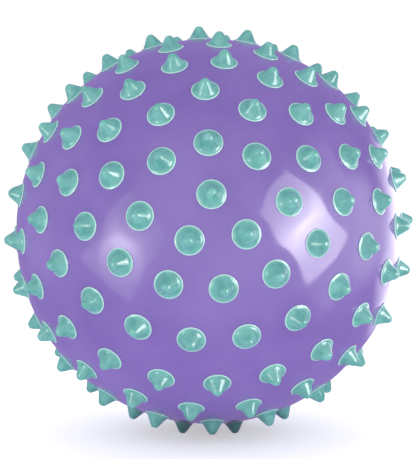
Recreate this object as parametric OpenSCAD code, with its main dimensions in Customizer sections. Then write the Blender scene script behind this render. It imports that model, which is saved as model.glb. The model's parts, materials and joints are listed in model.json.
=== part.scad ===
// Sensory ball: a hollow vinyl skin studded with soft pointed nubs, with a push-in valve bung.
// The ball lies on three nub tips. The origin is on the floor under its centre, +Z is up,
// and the pole of the nub pattern leans up towards -Y.

/* [Ball] */
// Diameter of the vinyl skin, without the nubs
ball_d = 170; // [150:1:190]
// Thickness of the vinyl skin
skin_t = 1.6; // [1.2:0.1:2.4]

/* [Nubs] */
// Diameter of a nub's flared foot
nub_d = 11; // [10.4:0.1:12]
// Diameter of a nub's cone at its foot, inside the flare
cone_d = 8.6; // [7.5:0.1:9.6]
// Height of a nub above the curve of the skin
nub_h = 5.3; // [4:0.1:6.5]
// Radius of a nub's rounded tip
tip_r = 2.1; // [1:0.1:2.3]
// Thickness of the rim round a nub's foot
rim_t = 0.35; // [0.2:0.05:0.5]

/* [Valve] */
// Diameter of the sleeve that is bonded into the skin
sleeve_d = 14; // [13:0.5:16]
// Length of the sleeve, from the outside of the ball inwards
sleeve_len = 13; // [12:0.5:18]
// Diameter of the thickened boss inside the skin that holds the sleeve
boss_d = 21; // [20:0.5:26]
// Diameter of the bung's stem
stem_d = 8; // [7:0.5:8.5]
// Diameter of the bung's head
head_d = 10.8; // [10:0.2:11]
// Thickness of the bung's head at its edge
head_t = 1.6; // [1.2:0.1:2]
// Gap round the bung inside its sleeve
bung_gap = 0.05; // [0.02:0.01:0.1]
// Diameter of the hole that takes a pump needle
needle_d = 2.2; // [1.8:0.1:2.6]
// Depth of the needle hole
needle_depth = 9; // [7:0.5:10]

/* [Hidden] */
// Each ring of nubs: polar angle from the pole, number of nubs, azimuth of the first nub,
// and how much further from the pole the ring sags on the floor side
// Azimuth 0 is the side of the ball that lies on the floor
rings = [
    [3.1, 1, 2, 0],
    [13.3, 6, 3, 3],
    [26.2, 12, -9.5, 1.5],
    [39.2, 17, 6, 0],
    [53, 21, 12, 0],
    [68, 23, 2.5, 0],
    [81, 23, 11, 0],
    [94.5, 23, 1, 0],
    [108, 23, 180 / 23, 0],
    [121.5, 22, 0, 0],
    [135, 18, 10, 0],
    [148.5, 14, 4, 0],
    [162, 8, 0, 0]
];
last_ring = len(rings) - 1;
// How quickly the sag fades away from azimuth 0
sag_fade = 4;
function sag_share(azimuth) = pow(max(0, cos(azimuth)), sag_fade);

// The ball rests on two nubs of one ring and on the nub between them in the next
pair_ring = rings[8];
foot_ring = rings[9];
// Lean of the pole above the horizontal at which those three tips share one level
pole_lean = atan2(
    sin(pair_ring[0]) * cos(pair_ring[2]) - sin(foot_ring[0]),
    cos(pair_ring[0]) - cos(foot_ring[0])
);
// Angle from straight down to each of the three tips
rest_angle = foot_ring[0] - 90 - pole_lean;

ball_r = ball_d / 2;
nub_r = nub_d / 2;
cone_r = cone_d / 2;
// Height of the flat that a nub of foot radius r needs on the skin, from the ball's centre
function flat_h(r) = sqrt(ball_r * ball_r - r * r);
seat_h = flat_h(nub_r);
// Height of a nub above its own flat, and of the centre of its round tip
nub_top = ball_r + nub_h - seat_h;
tip_z = nub_top - tip_r;
// Height of the ball's centre when the three tips stand on the floor
centre_h = (seat_h + tip_z) * cos(rest_angle) + tip_r;

// The nub's straight flank touches the round tip and runs down to the edge of the cone's foot
flank_a = atan2(cone_r, tip_z - rim_t) - asin(tip_r / norm([cone_r, tip_z - rim_t]));
// The flare is an arc from the flank to the rim
flare_w = nub_r - cone_r;
flare_r = flare_w / tan((90 - flank_a) / 2);

sleeve_r = sleeve_d / 2;
stem_r = stem_d / 2;
head_r = head_d / 2;
needle_r = needle_d / 2;
// Outer face of the sleeve, flush with the skin at its edge
sleeve_top = flat_h(sleeve_r);
// The head's crown stands this far above its edge
head_crown = 0.4;
// The stem stops short of the sleeve's inner end
stem_short = 1.5;
stem_len = sleeve_len - head_t - stem_short;
// Lead-in round the mouth of the needle hole
lead_in = 0.7;
// Chamfer round the stem's inner end
nose = 0.8;
// Spare reach of a cutter past the face that it cuts
over = 1;

vinyl_purple = "#866DBD";
vinyl_turquoise = "#70B3B2";
rubber_white = "#E9E6DD";

$fn = 64;

// Sets the ball down on its three nubs
module lie() {
    translate([0, 0, centre_h]) rotate([90 - pole_lean, 0, 0]) rotate([0, 0, -90]) children();
}

// Places a shape on the flat of each nub in one ring
module on_ring(ring) {
    for (k = [0:ring[1] - 1]) {
        azimuth = ring[2] + 360 / ring[1] * k;
        polar = ring[0] + ring[3] * sag_share(azimuth);
        rotate([0, polar, azimuth]) translate([0, 0, seat_h]) children();
    }
}

// Places a shape on the valve's axis, which leaves the ball opposite the pole
module at_valve() {
    rotate([180, 0, 0]) children();
}

// Half section of a nub: round tip, straight flank, flared foot and a thin rim
module nub_section() {
    flank_top = [tip_r * cos(flank_a), tip_z + tip_r * sin(flank_a)];
    flank_foot = [cone_r - flare_w * sin(flank_a), rim_t + flare_w * cos(flank_a)];
    difference() {
        polygon([[0, 0], [nub_r, 0], [nub_r, rim_t], flank_foot, flank_top, [0, flank_top[1]]]);
        translate([nub_r, rim_t + flare_r]) circle(flare_r);
    }
    intersection() {
        translate([0, tip_z]) circle(tip_r);
        translate([0, flank_top[1]]) square([tip_r, tip_r]);
    }
}

module nub() {
    rotate_extrude() nub_section();
}

module pole_nub() {
    color(vinyl_turquoise) lie() on_ring(rings[0]) nub();
}

module nub_ring(i) {
    color(vinyl_turquoise) lie() on_ring(rings[i]) nub();
}

// Hollow skin with a boss for the valve and a small flat under every nub
module ball_shell() {
    inner_r = ball_r - skin_t;
    boss_top = ball_r - skin_t / 2 - boss_d * boss_d / 8 / ball_r / 2;
    color(vinyl_purple) lie() difference() {
        union() {
            difference() {
                sphere(ball_r);
                sphere(inner_r);
            }
            at_valve() translate([0, 0, sleeve_top - sleeve_len])
                cylinder(d = boss_d, h = boss_top - sleeve_top + sleeve_len);
        }
        at_valve() translate([0, 0, sleeve_top - sleeve_len - over])
            cylinder(r = sleeve_r, h = sleeve_len + 2 * over);
        for (ring = rings) on_ring(ring) cylinder(r = nub_r + over, h = over);
    }
}

// Stepped sleeve that the bung is pushed into
module valve_sleeve() {
    color(vinyl_purple) lie() at_valve() translate([0, 0, sleeve_top]) difference() {
        translate([0, 0, -sleeve_len]) cylinder(r = sleeve_r, h = sleeve_len);
        translate([0, 0, -sleeve_len - over]) cylinder(r = stem_r, h = sleeve_len + 2 * over);
        translate([0, 0, -head_t]) cylinder(r = head_r, h = head_t + over);
    }
}

// Rubber bung with a crowned head and a blind hole for a pump needle
module valve_bung() {
    bung_r = stem_r - bung_gap;
    cap_r = head_r - bung_gap;
    // Radius of the sphere whose cap is the head's crown
    crown_r = (cap_r * cap_r + head_crown * head_crown) / 2 / head_crown;
    color(rubber_white) lie() at_valve() translate([0, 0, sleeve_top - head_t]) difference() {
        union() {
            translate([0, 0, nose - stem_len]) cylinder(r = bung_r, h = stem_len - nose);
            translate([0, 0, -stem_len]) cylinder(r1 = bung_r - nose, r2 = bung_r, h = nose);
            intersection() {
                cylinder(r = cap_r, h = head_t + head_crown);
                translate([0, 0, head_t + head_crown - crown_r]) sphere(crown_r);
            }
        }
        translate([0, 0, head_t + head_crown - needle_depth]) cylinder(r = needle_r, h = needle_depth + over);
        translate([0, 0, head_t + head_crown - lead_in])
            cylinder(r1 = needle_r, r2 = needle_r + lead_in + over, h = lead_in + over);
    }
}

ball_shell();
valve_sleeve();
valve_bung();
pole_nub();
for (i = [1:last_ring]) nub_ring(i);
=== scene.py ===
import json
from math import asin, atan2, cos, degrees, hypot, pi, radians, sin, sqrt, tan

import bmesh
import bpy
from mathutils import Matrix, Vector
from mathutils.kdtree import KDTree


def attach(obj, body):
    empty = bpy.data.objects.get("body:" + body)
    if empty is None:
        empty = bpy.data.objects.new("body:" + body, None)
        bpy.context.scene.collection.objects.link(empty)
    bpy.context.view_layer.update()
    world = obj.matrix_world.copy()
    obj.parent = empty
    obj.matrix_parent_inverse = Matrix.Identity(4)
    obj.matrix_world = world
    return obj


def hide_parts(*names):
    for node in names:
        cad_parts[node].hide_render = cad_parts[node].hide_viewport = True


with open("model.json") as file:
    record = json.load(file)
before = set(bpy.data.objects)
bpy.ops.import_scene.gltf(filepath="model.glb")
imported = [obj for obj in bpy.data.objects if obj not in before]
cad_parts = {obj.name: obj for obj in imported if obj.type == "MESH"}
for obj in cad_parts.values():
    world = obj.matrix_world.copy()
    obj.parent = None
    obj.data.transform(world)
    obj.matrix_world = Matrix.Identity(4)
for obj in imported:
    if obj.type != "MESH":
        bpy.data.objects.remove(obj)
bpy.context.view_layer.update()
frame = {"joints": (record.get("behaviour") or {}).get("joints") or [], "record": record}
scene = bpy.context.scene
scene.view_settings.view_transform = "Standard"
mm = 0.001
weld = 0.001 * mm  # vertices closer than this are merged
touch = 0.01 * mm  # a vertex closer than this to a surface lies on it


# where the ball lies: the valve's axis runs through the centre, which is straight above the origin
outward = Vector(frame["joints"][0]["axis"]).normalized()
needleHole = next(mount for mount in frame["record"]["mounts"] if mount["name"] == "needle_hole")
needle = Vector(needleHole["pos_m"])
centre = needle - outward * (needle.y / outward.y)
poleLean = asin(-outward.z)  # the nub pattern's pole is opposite the valve
leaning = Matrix.Rotation(pi / 2 - poleLean, 4, "X") @ Matrix.Rotation(-pi / 2, 4, "Z")
lie = Matrix.Translation(centre) @ leaning
atValve = lie @ Matrix.Rotation(pi, 4, "X")

ball = {
    "radius": 85 * mm,
    "skin": 1.6 * mm,
}


def linear(hexColour):
    channels = [int(hexColour[i:i + 2], 16) / 255 for i in (1, 3, 5)]
    return [c / 12.92 if c <= 0.04045 else ((c + 0.055) / 1.055) ** 2.4 for c in channels] + [1.0]


def addNode(tree, kind, values=None, links=None, **settings):
    node = tree.nodes.new(kind)
    for name, value in settings.items():
        setattr(node, name, value)
    for socket, value in (values or {}).items():
        node.inputs[socket].default_value = value
    for socket, source in (links or {}).items():
        tree.links.new(source, node.inputs[socket])
    return node


def newTree(owner):
    owner.use_nodes = True
    owner.node_tree.nodes.clear()
    return owner.node_tree


def perMetre(sizeMm):
    return 1000 / sizeMm  # a noise scale whose blotches are about this big


noiseRange = (0.3, 0.7)  # most of a noise texture's values are in here

# soft PVC, cast in a polished mould: an even glossy skin, clouded a little where the pigment settled,
# with a shallow orange peel that softens the edges of reflections
purpleVinyl = {
    "name": "purple soft PVC",
    "colours": ("#7C64B0", "#8870BA"),
    "cloudMm": 24,
    "roughness": (0.10, 0.15),
    "scuffMm": 5,
    "peelMm": 1.6,
    "peelDepth": 0.004 * mm,
    "ior": 1.53,
}
# the same PVC in the nubs' colour: glossier, because small cones keep the mould's polish, mottled and
# a little wavy, with a painted highlight that makes it paler along the rim
turquoiseVinyl = {
    "name": "turquoise soft PVC",
    "colours": ("#5DA59E", "#7CC2B9"),
    "cloudMm": 3.5,
    "roughness": (0.05, 0.10),
    "scuffMm": 2,
    "peelMm": 1.6,
    "peelDepth": 0.015 * mm,
    "ior": 1.53,
    "rimHighlightColour": "#BCE4E0",
    "rimHighlightReach": (0.24 * mm, 0.37 * mm),  # above the curve of the skin
}
# moulded rubber: satin, a little chalky, with the grain of a blasted mould, drawn coarser than life
# so that it shows
bungRubber = {
    "name": "cream moulded rubber",
    "colours": ("#DEDACE", "#E9E6DC"),
    "cloudMm": 3,
    "roughness": (0.42, 0.55),
    "scuffMm": 1.2,
    "peelMm": 0.35,
    "peelDepth": 0.008 * mm,
    "ior": 1.52,
}


# painted highlight: the nubs' colour turns to a pale tint in a thin band along the rim, just above the skin
def paintedRimHighlight(tree, finish, place, shade):
    height = addNode(tree, "ShaderNodeVectorMath", {1: centre}, {0: place}, operation="DISTANCE")
    low, high = finish["rimHighlightReach"]
    share = addNode(
        tree, "ShaderNodeMapRange",
        {"From Min": ball["radius"] + low, "From Max": ball["radius"] + high, "To Min": 1, "To Max": 0},
        {"Value": height.outputs["Value"]}, interpolation_type="SMOOTHSTEP",
    )
    mixed = addNode(
        tree, "ShaderNodeMix", {7: linear(finish["rimHighlightColour"])},  # sockets 6 and 7 are its two colours
        {0: share.outputs["Result"], 6: shade}, data_type="RGBA",
    )
    return mixed.outputs[2]


def mouldedFinish(finish):
    material = bpy.data.materials.new(finish["name"])
    tree = newTree(material)
    place = addNode(tree, "ShaderNodeTexCoord").outputs["Object"]
    clouds = addNode(
        tree, "ShaderNodeTexNoise",
        {"Scale": perMetre(finish["cloudMm"]), "Detail": 3},
        {"Vector": place},
    )
    colour = addNode(tree, "ShaderNodeValToRGB", links={"Fac": clouds.outputs["Fac"]})
    for stop, position, tone in zip(colour.color_ramp.elements, noiseRange, finish["colours"]):
        stop.position = position
        stop.color = linear(tone)
    shade = colour.outputs["Color"]
    # a painted highlight along the rim
    if "rimHighlightColour" in finish:
        shade = paintedRimHighlight(tree, finish, place, shade)
    scuffs = addNode(
        tree, "ShaderNodeTexNoise",
        {"Scale": perMetre(finish["scuffMm"]), "Detail": 4},
        {"Vector": place},
    )
    low, high = noiseRange
    smoothest, roughest = finish["roughness"]
    rough = addNode(
        tree, "ShaderNodeMapRange",
        {"From Min": low, "From Max": high, "To Min": smoothest, "To Max": roughest},
        {"Value": scuffs.outputs["Fac"]},
    )
    peel = addNode(
        tree, "ShaderNodeTexNoise",
        {"Scale": perMetre(finish["peelMm"]), "Detail": 2},
        {"Vector": place},
    )
    bump = addNode(
        tree, "ShaderNodeBump",
        {"Strength": 1, "Distance": finish["peelDepth"]},
        {"Height": peel.outputs["Fac"]},
    )
    surface = addNode(
        tree, "ShaderNodeBsdfPrincipled",
        {"IOR": finish["ior"]},
        {"Base Color": shade, "Roughness": rough.outputs["Result"], "Normal": bump.outputs["Normal"]},
    )
    addNode(tree, "ShaderNodeOutputMaterial", links={"Surface": surface.outputs["BSDF"]})
    return material


purpleSkin = mouldedFinish(purpleVinyl)
turquoiseNub = mouldedFinish(turquoiseVinyl)
creamBung = mouldedFinish(bungRubber)
print("finishes:", purpleSkin.name + ",", turquoiseNub.name + ",", creamBung.name)


def addPiece(name, bm, material, body, nodes, creaseAngle=None):
    mesh = bpy.data.meshes.new(name)
    bm.to_mesh(mesh)
    bm.free()
    mesh.shade_smooth()
    if creaseAngle:
        mesh.set_sharp_from_angle(angle=radians(creaseAngle))
    mesh.materials.append(material)
    piece = bpy.data.objects.new(name, mesh)
    scene.collection.objects.link(piece)
    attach(piece, body)
    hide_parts(*nodes)
    return piece


def lathe(bm, sides):
    bmesh.ops.spin(
        bm, geom=bm.verts[:] + bm.edges[:], cent=(0, 0, 0), axis=(0, 0, 1),
        angle=2 * pi, steps=sides, use_merge=True,
    )
    bmesh.ops.remove_doubles(bm, verts=bm.verts, dist=weld)
    bmesh.ops.recalc_face_normals(bm, faces=bm.faces)


def drawOn(bm, last, points):
    for radius, height in points:
        grown = bmesh.ops.extrude_vert_indiv(bm, verts=[last])
        last = grown["verts"][0]
        last.co = (radius, 0, height)
    return last


def swing(bm, start, pivotHeight, angle, steps):
    arc = bmesh.ops.spin(
        bm, geom=[start], cent=(0, 0, pivotHeight), axis=(0, 1, 0), angle=angle, steps=steps,
    )
    return next(item for item in arc["geom_last"] if isinstance(item, bmesh.types.BMVert))


# nubs: rounded tip, straight flank, flared foot and a thin rim that stands on the skin
nub = {
    "foot": 5.5 * mm,
    "cone": 4.3 * mm,
    "height": 5.3 * mm,
    "tip": 2.1 * mm,
    "rim": 0.35 * mm,
    "root": 0.5 * mm,  # how deep it is sunk in the skin
    "tipSpread": 1.1,  # these two place the cage so that the smoothed tip keeps to the round
    "tipDrop": 0.2 * mm,
    "flankSteps": (0.3, 0.75),  # where the cage's rings cross the flank, as shares of it from its top
    "sides": 12,
    "smoothing": 2,
}
# each ring: polar angle from the pole, number of nubs, azimuth of the first nub, sag on the floor side
nubRings = [
    (3.1, 1, 2, 0),
    (13.3, 6, 3, 3),
    (26.2, 12, -9.5, 1.5),
    (39.2, 17, 6, 0),
    (53, 21, 12, 0),
    (68, 23, 2.5, 0),
    (81, 23, 11, 0),
    (94.5, 23, 1, 0),
    (108, 23, 180 / 23, 0),
    (121.5, 22, 0, 0),
    (135, 18, 10, 0),
    (148.5, 14, 4, 0),
    (162, 8, 0, 0),
]
sagFade = 4  # how quickly a ring's sag fades away from the floor side
seat = sqrt(ball["radius"] ** 2 - nub["foot"] ** 2)  # height of the flat under a nub


def nubPlaces(ring):
    polar, count, first, sag = ring
    for k in range(count):
        azimuth = radians(first + 360 / count * k)
        lean = radians(polar + sag * max(0, cos(azimuth)) ** sagFade)
        turn = Matrix.Rotation(azimuth, 4, "Z") @ Matrix.Rotation(lean, 4, "Y")
        yield turn @ Matrix.Translation((0, 0, seat))


def nubCage():
    top = ball["radius"] + nub["height"] - seat
    rise = top - nub["tip"] - nub["rim"]
    flank = atan2(nub["cone"], rise) - asin(nub["tip"] / hypot(nub["cone"], rise))
    flare = nub["foot"] - nub["cone"]
    flankTop = Vector((nub["tip"] * cos(flank), top - nub["tip"] + nub["tip"] * sin(flank)))
    flankFoot = Vector((nub["cone"] - flare * sin(flank), nub["rim"] + flare * cos(flank)))
    tipCorner = nub["tip"] * tan((pi / 2 - flank) / 2)
    outline = [
        (tipCorner * nub["tipSpread"], top - nub["tipDrop"]),
        *[flankTop.lerp(flankFoot, step) for step in nub["flankSteps"]],
        (nub["cone"], nub["rim"]),
        (nub["foot"], nub["rim"]),
        (nub["foot"], -nub["root"]),
    ]
    swell = 3 / (2 + cos(2 * pi / nub["sides"]))  # the smoothing draws the cage in by this much
    bm = bmesh.new()
    pole = bm.verts.new((0, 0, top))
    drawOn(bm, pole, [(radius * swell, height) for radius, height in outline])
    lathe(bm, nub["sides"])
    bmesh.ops.holes_fill(bm, edges=[edge for edge in bm.edges if edge.is_boundary], sides=0)
    bmesh.ops.recalc_face_normals(bm, faces=bm.faces)
    cage = bpy.data.meshes.new("nub cage")
    bm.to_mesh(cage)
    bm.free()
    return cage


def nubPiece(index, ring, cage):
    bm = bmesh.new()
    for place in nubPlaces(ring):
        before = len(bm.verts)
        bm.from_mesh(cage)
        bm.verts.ensure_lookup_table()
        bmesh.ops.transform(bm, matrix=lie @ place, verts=bm.verts[before:])
    node = f"nub_ring_{index}" if index else "pole_nub"
    piece = addPiece(f"nubs_{index:02d}", bm, turquoiseNub, "ball", [node])
    smoothing = piece.modifiers.new("smoothing", "SUBSURF")
    smoothing.levels = smoothing.render_levels = nub["smoothing"]


cage = nubCage()
for index, ring in enumerate(nubRings):
    nubPiece(index, ring, cage)
print("nubs:", sum(ring[1] for ring in nubRings), "in", len(nubRings), "pieces,",
      len(cage.polygons), "cage faces each")


# shell: one hollow skin, thickened inside to a boss round the valve
shell = {
    "hole": 7 * mm,
    "boss": 10.5 * mm,
    "depth": 13 * mm,
    "lip": 0.25 * mm,
    "lipSteps": 3,
    "crease": 40,
    "sides": 288,
    "outerSteps": 144,
    "innerSteps": 48,
    "sink": 0.12 * mm,  # the skin is drawn in a little round every nub, as thick spots shrink in the mould
    "sinkReach": 10 * mm,
}
valveFace = sqrt(ball["radius"] ** 2 - shell["hole"] ** 2)  # from the ball's centre to the valve's face


def sinkRoundNubs(bm):
    places = [place @ Vector() for ring in nubRings for place in nubPlaces(ring)]
    feet = KDTree(len(places))
    for i, foot in enumerate(places):
        feet.insert(foot.normalized() * ball["radius"], i)
    feet.balance()
    for vert in bm.verts:
        if vert.co.length < ball["radius"] - touch:
            continue
        away = feet.find(vert.co)[2]
        share = (away - nub["foot"]) / (shell["sinkReach"] - nub["foot"])
        share = min(max(share, 0), 1)
        vert.co -= vert.co.normalized() * shell["sink"] * (1 + cos(pi * share)) / 2


def shellPiece():
    outer = ball["radius"]
    inner = outer - ball["skin"]
    innerEnd = valveFace - shell["depth"]
    bossAngle = pi - asin(shell["boss"] / inner)
    bm = bmesh.new()
    pole = bm.verts.new((0, 0, outer))
    rim = swing(bm, pole, 0, pi - asin(shell["hole"] / outer), shell["outerSteps"])
    last = drawOn(bm, rim, [
        (shell["hole"], -innerEnd),
        (shell["boss"], -innerEnd),
        (shell["boss"], inner * cos(bossAngle)),
    ])
    swing(bm, last, 0, -bossAngle, shell["innerSteps"])
    lathe(bm, shell["sides"])
    sinkRoundNubs(bm)
    lip = [edge for edge in bm.edges if all(abs(vert.co.z + valveFace) < touch for vert in edge.verts)]
    bmesh.ops.bevel(
        bm, geom=lip, offset=shell["lip"], segments=shell["lipSteps"],
        profile=0.5, affect="EDGES", material=-1,
    )
    bmesh.ops.transform(bm, matrix=lie, verts=bm.verts)
    addPiece("skin", bm, purpleSkin, "ball", ["ball_shell"], shell["crease"])


shellPiece()
print("skin done")


# valve: a stepped sleeve bonded into the boss, and the bung that is pushed into it
valve = {
    "sleeve": shell["hole"],
    "length": shell["depth"],
    "stem": 4 * mm,
    "head": 5.4 * mm,
    "headDepth": 1.6 * mm,
    "gap": 0.05 * mm,
    "crown": 0.4 * mm,
    "crownSteps": 6,
    "stemShort": 1.5 * mm,
    "nose": 0.8 * mm,
    "needle": 1.1 * mm,
    "needleDepth": 9 * mm,
    "leadIn": 0.7 * mm,
    "edge": 0.22 * mm,
    "edgeSteps": 3,
    "sharp": 35,  # outside corners that turn by more than this are rounded
    "crease": 40,
    "sides": 64,
}


def roundEdges(bm):
    corners = [edge for edge in bm.edges if edge.calc_face_angle_signed(0) > radians(valve["sharp"])]
    bmesh.ops.bevel(
        bm, geom=corners, offset=valve["edge"], segments=valve["edgeSteps"],
        profile=0.5, affect="EDGES", material=-1,
    )


def sleevePiece():
    bm = bmesh.new()
    first = bm.verts.new((valve["stem"], 0, -valve["length"]))
    last = drawOn(bm, first, [
        (valve["sleeve"], -valve["length"]),
        (valve["sleeve"], 0),
        (valve["head"], 0),
        (valve["head"], -valve["headDepth"]),
        (valve["stem"], -valve["headDepth"]),
    ])
    bm.edges.new((last, first))
    lathe(bm, valve["sides"])
    roundEdges(bm)
    bmesh.ops.transform(bm, matrix=atValve @ Matrix.Translation((0, 0, valveFace)), verts=bm.verts)
    addPiece("valve_collar", bm, purpleSkin, "ball", ["valve_sleeve"], valve["crease"])


def bungPiece():
    headRadius = valve["head"] - valve["gap"]
    stemRadius = valve["stem"] - valve["gap"]
    top = valve["headDepth"] + valve["crown"]
    stemEnd = valve["length"] - valve["headDepth"] - valve["stemShort"]
    crownRadius = (headRadius ** 2 + valve["crown"] ** 2) / 2 / valve["crown"]
    mouth = valve["needle"] + valve["leadIn"]
    fromMouth = asin(mouth / crownRadius)
    toEdge = asin(headRadius / crownRadius)
    pivot = top - crownRadius
    bm = bmesh.new()
    bottom = bm.verts.new((0, 0, top - valve["needleDepth"]))
    lipPoint = drawOn(bm, bottom, [
        (valve["needle"], top - valve["needleDepth"]),
        (valve["needle"], top - valve["leadIn"]),
        (mouth, pivot + crownRadius * cos(fromMouth)),
    ])
    edge = swing(bm, lipPoint, pivot, toEdge - fromMouth, valve["crownSteps"])
    drawOn(bm, edge, [
        (headRadius, 0),
        (stemRadius, 0),
        (stemRadius, valve["nose"] - stemEnd),
        (stemRadius - valve["nose"], -stemEnd),
        (0, -stemEnd),
    ])
    lathe(bm, valve["sides"])
    roundEdges(bm)
    head = Matrix.Translation((0, 0, valveFace - valve["headDepth"]))
    bmesh.ops.transform(bm, matrix=atValve @ head, verts=bm.verts)
    addPiece("valve_plug", bm, creamBung, "bung", ["valve_bung"], valve["crease"])


sleevePiece()
bungPiece()
print("valve done")


# camera: as far from the ball as the photo shows by how its nubs crowd at the edge
photo = {
    "width": 417,
    "height": 459,
    "ballX": 208.9,  # where the skin's outline is, in pixels
    "ballY": 231.2,
    "ballRadius": 192.6,
    "distance": 4.5,  # in ball radii
    "poleAbove": 25.1,  # the pole is this many degrees above the line of sight
    "poleLeft": 0.25,  # and this many to the left of it
}


def toward(azimuth, elevation):
    azimuth, elevation = radians(azimuth), radians(elevation)  # azimuth 0 is the ball's front, 90 its right
    return Vector((sin(azimuth) * cos(elevation), -cos(azimuth) * cos(elevation), sin(elevation)))


def addCamera():
    elevation = poleLean - radians(photo["poleAbove"])
    back = toward(photo["poleLeft"], degrees(elevation))
    lens = bpy.data.cameras.new("camera")
    longSide = max(photo["width"], photo["height"])
    focalPixels = photo["ballRadius"] * sqrt(photo["distance"] ** 2 - 1)
    lens.lens = focalPixels / longSide * lens.sensor_width
    lens.shift_x = (photo["width"] / 2 - photo["ballX"]) / longSide
    lens.shift_y = (photo["ballY"] - photo["height"] / 2) / longSide
    camera = bpy.data.objects.new("camera", lens)
    camera.location = centre + back * ball["radius"] * photo["distance"]
    camera.rotation_euler = (-back).to_track_quat("-Z", "Y").to_euler()
    scene.collection.objects.link(camera)
    scene.camera = camera
    print("camera: elevation", round(degrees(elevation), 2), "lens", round(lens.lens, 1))


addCamera()


# studio: a pale dome and a lit table with a painted shade under the ball, two softboxes that show as
# highlights, and lilac cloth with pale pools, which shows only as a sheen
studio = {
    "dome": 0.98,
    "domeColour": "#FFFFFF",
    "floorColour": "#EDEDED",
    "floorPaintedShade": "#181818",  # painted shade: the table just under the ball is this dark as the ball sees it, for the shade where it lies
    "floorGlow": 0.45,  # a table lit from below
    "floorFade": (0.024, 0.05),  # the painted shade fades out between these distances from the middle
    "floorSize": 3,  # half its width
    "clothColour": "#9D89C5",
    "clothDetail": 5,
    "boxFalloff": 2,
}
# a tent all round, and round the ball's sides and back a screen that keeps the softboxes off its edges
# opening: how far the screen's mouth reaches from straight in front of the ball, in degrees
# each pool: azimuth of its middle and how far it reaches, in degrees, and its glow
tents = [
    {"name": "lilac tent", "radius": 1.5, "pools": [
        {"azimuth": 0, "reach": 75, "glow": 0.75},
        {"azimuth": 75, "reach": 45, "glow": 1.65},
        {"azimuth": -95, "reach": 50, "glow": 0.25},
    ]},
    {"name": "lilac screen", "radius": 0.16, "opening": 67, "pools": [
        {"azimuth": 68, "reach": 27, "glow": 1.9},
        {"azimuth": 114, "reach": 32, "glow": 2.5},
        {"azimuth": -70, "reach": 40, "glow": 0.25},
    ]},
]
# each softbox glows most in its middle, and fades across and along it to the glow of its two ends
softboxes = [
    {
        "name": "right softbox",
        "azimuth": 53,
        "elevation": 1,
        "distance": 0.9,
        "size": (0.8, 0.55),
        "turn": -42,
        "middle": 19.5,
        "ends": (4.2, 8.2),
        "fade": (0.3, 0.7),
    },
    {
        "name": "left softbox",
        "azimuth": -48,
        "elevation": -9.5,
        "distance": 1.2,
        "size": (0.96, 0.76),
        "turn": 45,
        "middle": 11,
        "ends": (1.7, 1.7),
        "fade": (0.45, 0.43),
    },
]


def seenDirectly(tree):
    ray = addNode(tree, "ShaderNodeLightPath").outputs
    mirrored = addNode(
        tree, "ShaderNodeMath",
        links={0: ray["Is Glossy Ray"], 1: ray["Is Transmission Ray"]},
    )
    return addNode(
        tree, "ShaderNodeMath",
        links={0: ray["Is Camera Ray"], 1: mirrored.outputs[0]}, use_clamp=True,
    ).outputs[0]


def addWorld():
    world = bpy.data.worlds.new("studio")
    scene.world = world
    tree = newTree(world)
    pale = linear(studio["domeColour"])
    dome = addNode(tree, "ShaderNodeBackground", {"Color": pale, "Strength": studio["dome"]})
    white = addNode(tree, "ShaderNodeBackground", {"Color": pale, "Strength": 1})
    both = addNode(
        tree, "ShaderNodeMixShader",
        links={0: seenDirectly(tree), 1: dome.outputs[0], 2: white.outputs[0]},
    )
    addNode(tree, "ShaderNodeOutputWorld", links={"Surface": both.outputs[0]})


def addStage(name, bm, material):
    mesh = bpy.data.meshes.new(name)
    bm.to_mesh(mesh)
    bm.free()
    mesh.materials.append(material)
    thing = bpy.data.objects.new(name, mesh)
    scene.collection.objects.link(thing)
    return thing


def addFloor():
    material = bpy.data.materials.new("lit white acrylic table with painted shade")
    tree = newTree(material)
    place = addNode(tree, "ShaderNodeTexCoord").outputs["Object"]
    away = addNode(tree, "ShaderNodeVectorMath", links={0: place}, operation="LENGTH")
    near, far = studio["floorFade"]
    lit = addNode(
        tree, "ShaderNodeMapRange",
        {"From Min": near, "From Max": far, "To Min": 0, "To Max": 1},
        {"Value": away.outputs["Value"]}, interpolation_type="SMOOTHSTEP",
    )
    share = addNode(
        tree, "ShaderNodeMath",
        links={0: seenDirectly(tree), 1: lit.outputs["Result"]}, operation="MAXIMUM",
    )
    sheet = addNode(tree, "ShaderNodeBsdfDiffuse", {"Color": linear(studio["floorColour"])})
    glow = addNode(tree, "ShaderNodeEmission", {"Strength": studio["floorGlow"]})
    bright = addNode(tree, "ShaderNodeAddShader", links={0: sheet.outputs[0], 1: glow.outputs[0]})
    # painted shade: the ball's own light sees the table dark under it, while the camera and reflections see
    # it lit
    shade = addNode(tree, "ShaderNodeBsdfDiffuse", {"Color": linear(studio["floorPaintedShade"])})
    table = addNode(
        tree, "ShaderNodeMixShader",
        links={0: share.outputs[0], 1: shade.outputs[0], 2: bright.outputs[0]},
    )
    addNode(tree, "ShaderNodeOutputMaterial", links={"Surface": table.outputs[0]})
    bm = bmesh.new()
    bmesh.ops.create_grid(bm, x_segments=1, y_segments=1, size=studio["floorSize"])
    floor = addStage("floor", bm, material)
    floor.visible_glossy = False  # the softboxes reach below it, and the ball mirrors them whole


def onlyInGloss(thing):
    thing.visible_camera = False  # the dome lights the ball, and this shows only as a reflection
    thing.visible_diffuse = False
    thing.visible_shadow = False
    thing.visible_transmission = False


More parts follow.
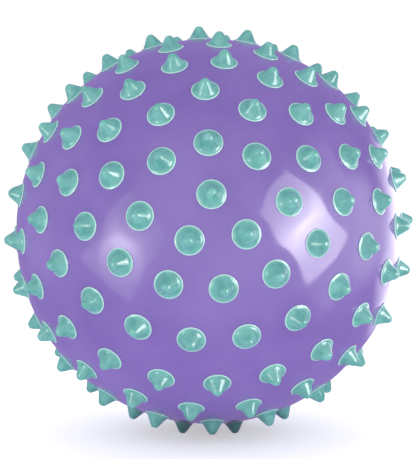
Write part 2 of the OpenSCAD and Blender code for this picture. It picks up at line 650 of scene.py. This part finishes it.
def addTent(tent):
    material = bpy.data.materials.new(tent["name"])
    tree = newTree(material)
    place = addNode(tree, "ShaderNodeTexCoord").outputs["Object"]
    way = addNode(tree, "ShaderNodeVectorMath", links={0: place}, operation="NORMALIZE").outputs[0]
    cloth = addNode(tree, "ShaderNodeEmission", {"Color": linear(studio["clothColour"]), "Strength": 1})
    for pool in tent["pools"]:
        middle = toward(pool["azimuth"], 0)
        near = addNode(tree, "ShaderNodeVectorMath", {1: middle}, {0: way}, operation="DOT_PRODUCT")
        glow = addNode(
            tree, "ShaderNodeMapRange",
            {"From Min": cos(radians(pool["reach"])), "From Max": 1, "To Min": 0, "To Max": pool["glow"]},
            {"Value": near.outputs["Value"]}, interpolation_type="SMOOTHSTEP",
        )
        light = addNode(tree, "ShaderNodeEmission", links={"Strength": glow.outputs["Result"]})
        cloth = addNode(tree, "ShaderNodeAddShader", links={0: cloth.outputs[0], 1: light.outputs[0]})
    addNode(tree, "ShaderNodeOutputMaterial", links={"Surface": cloth.outputs[0]})
    bm = bmesh.new()
    bmesh.ops.create_icosphere(bm, subdivisions=studio["clothDetail"], radius=tent["radius"])
    if "opening" in tent:
        mouth = (0, -tent["radius"] * cos(radians(tent["opening"])), 0)
        whole = bm.verts[:] + bm.edges[:] + bm.faces[:]
        bmesh.ops.bisect_plane(bm, geom=whole, plane_co=mouth, plane_no=(0, -1, 0), clear_outer=True)
    cover = addStage(tent["name"], bm, material)
    cover.location = centre
    onlyInGloss(cover)


def addSoftbox(box):
    material = bpy.data.materials.new(box["name"])
    tree = newTree(material)
    place = addNode(tree, "ShaderNodeTexCoord").outputs["Object"]
    across, along = box["fade"]
    stretched = addNode(
        tree, "ShaderNodeVectorMath", {1: (1 / across, 1 / along, 0)}, {0: place}, operation="MULTIPLY",
    )
    away = addNode(tree, "ShaderNodeVectorMath", links={0: stretched.outputs[0]}, operation="LENGTH")
    inside = addNode(
        tree, "ShaderNodeMath", {0: 1}, {1: away.outputs["Value"]}, operation="SUBTRACT", use_clamp=True,
    )
    share = addNode(
        tree, "ShaderNodeMath", {1: studio["boxFalloff"]}, {0: inside.outputs[0]}, operation="POWER",
    )
    half = box["size"][0] / 2
    first, last = box["ends"]
    axes = addNode(tree, "ShaderNodeSeparateXYZ", links={0: place})
    ends = addNode(
        tree, "ShaderNodeMapRange",
        {"From Min": -half, "From Max": half, "To Min": first, "To Max": last},
        {"Value": axes.outputs["X"]},
    )
    glow = addNode(
        tree, "ShaderNodeMath", {1: box["middle"] - (first + last) / 2},
        {0: share.outputs[0], 2: ends.outputs["Result"]}, operation="MULTIPLY_ADD",
    )
    cloth = addNode(tree, "ShaderNodeEmission", links={"Strength": glow.outputs[0]})
    addNode(tree, "ShaderNodeOutputMaterial", links={"Surface": cloth.outputs[0]})
    bm = bmesh.new()
    bmesh.ops.create_grid(bm, x_segments=1, y_segments=1, size=0.5)  # one metre square, before it is scaled
    bmesh.ops.scale(bm, vec=(*box["size"], 1), verts=bm.verts)
    panel = addStage(box["name"], bm, material)
    side = toward(box["azimuth"], box["elevation"])
    aim = (-side).to_track_quat("-Z", "Y").to_matrix().to_4x4()
    turn = Matrix.Rotation(radians(box["turn"]), 4, "Z")
    panel.matrix_world = Matrix.Translation(centre + side * box["distance"]) @ aim @ turn
    onlyInGloss(panel)


addWorld()
addFloor()
for tent in tents:
    addTent(tent)
for box in softboxes:
    addSoftbox(box)
print("studio done")
